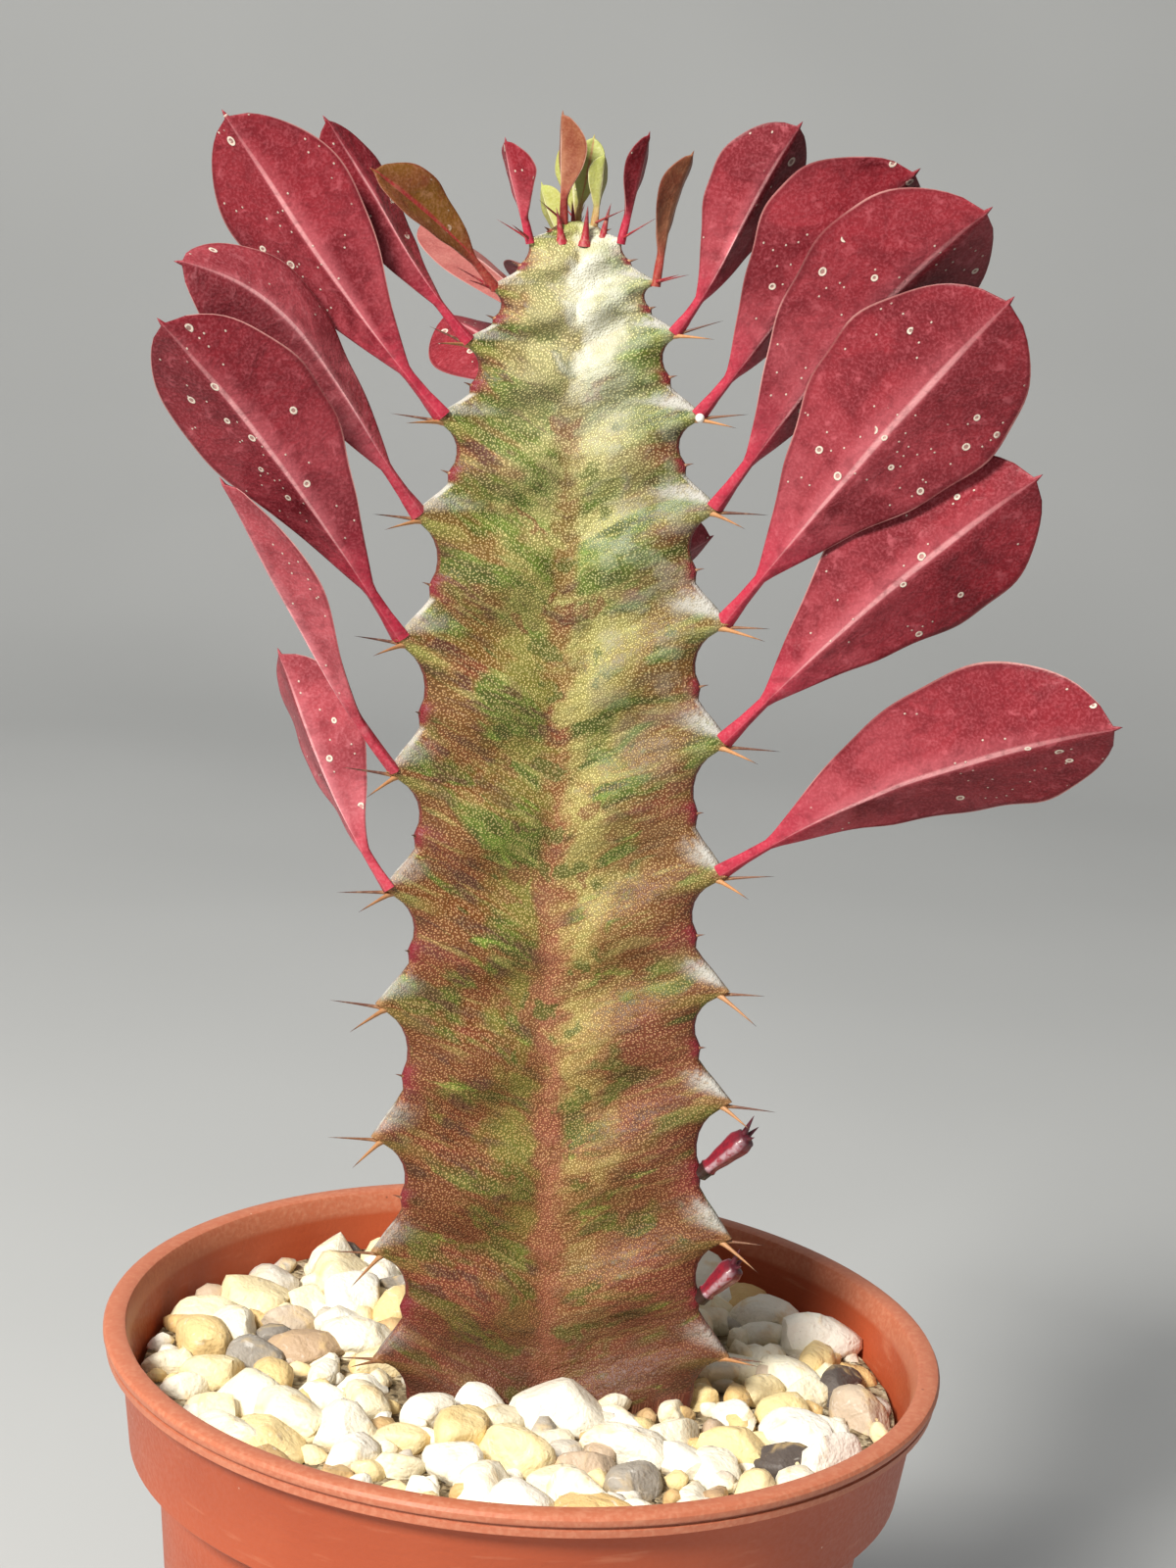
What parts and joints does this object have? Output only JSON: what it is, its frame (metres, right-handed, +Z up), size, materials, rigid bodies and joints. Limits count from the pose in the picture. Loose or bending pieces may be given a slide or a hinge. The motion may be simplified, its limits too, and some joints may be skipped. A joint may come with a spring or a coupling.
{
  "type": "red african milk tree in pot",
  "caption": "Angular succulent column with toothed, spined ribs and paddle-shaped burgundy leaves, rooted in pale gravel in a round terracotta-coloured plastic pot.",
  "frame": {"origin": "middle of the pot's flat underside", "axes": "+Z up along the pot's axis; -Y is the front, where one broad face of the column looks; +X is the right-hand rib's side"},
  "size_m": [0.1403, 0.1471, 0.3005],
  "materials": {
    "pot_plastic": "terracotta-coloured polypropylene, satin",
    "soil": "damp potting soil, rough and crumbly",
    "gravel": "rounded quartz pebbles, cream, yellow and tan, matte",
    "stem_skin": "living green and red-brown skin with a waxy bloom",
    "leaf_burgundy": "fleshy burgundy leaf, satin",
    "leaf_bronze": "young bronze leaf, satin",
    "leaf_pale_green": "youngest yellow-green leaf, satin",
    "shoot_red": "young crimson shoot, satin"
  },
  "bodies": {
    "root": {"pot": "pot_plastic", "soil": "soil", "gravel": "gravel", "column": "stem_skin", "leaf_right_04": "leaf_burgundy", "leaf_right_05": "leaf_burgundy", "leaf_right_06": "leaf_burgundy", "leaf_right_07": "leaf_burgundy", "leaf_right_08": "leaf_burgundy", "leaf_right_09": "leaf_burgundy", "leaf_right_10": "leaf_bronze", "leaf_right_11": "leaf_burgundy", "leaf_right_12": "leaf_pale_green", "leaf_back_04": "leaf_burgundy", "leaf_back_05": "leaf_burgundy", "leaf_back_06": "leaf_burgundy", "leaf_back_07": "leaf_burgundy", "leaf_back_08": "leaf_burgundy", "leaf_back_09": "leaf_burgundy", "leaf_back_10": "leaf_pale_green", "leaf_back_11": "leaf_pale_green", "leaf_back_12": "leaf_pale_green", "leaf_left_04": "leaf_burgundy", "leaf_left_05": "leaf_burgundy", "leaf_left_06": "leaf_burgundy", "leaf_left_07": "leaf_burgundy", "leaf_left_08": "leaf_burgundy", "leaf_left_09": "leaf_burgundy", "leaf_left_10": "leaf_bronze", "leaf_left_11": "leaf_burgundy", "leaf_left_12": "leaf_bronze", "shoot_upper": "shoot_red", "shoot_lower": "shoot_red"}
  },
  "joints": []
}
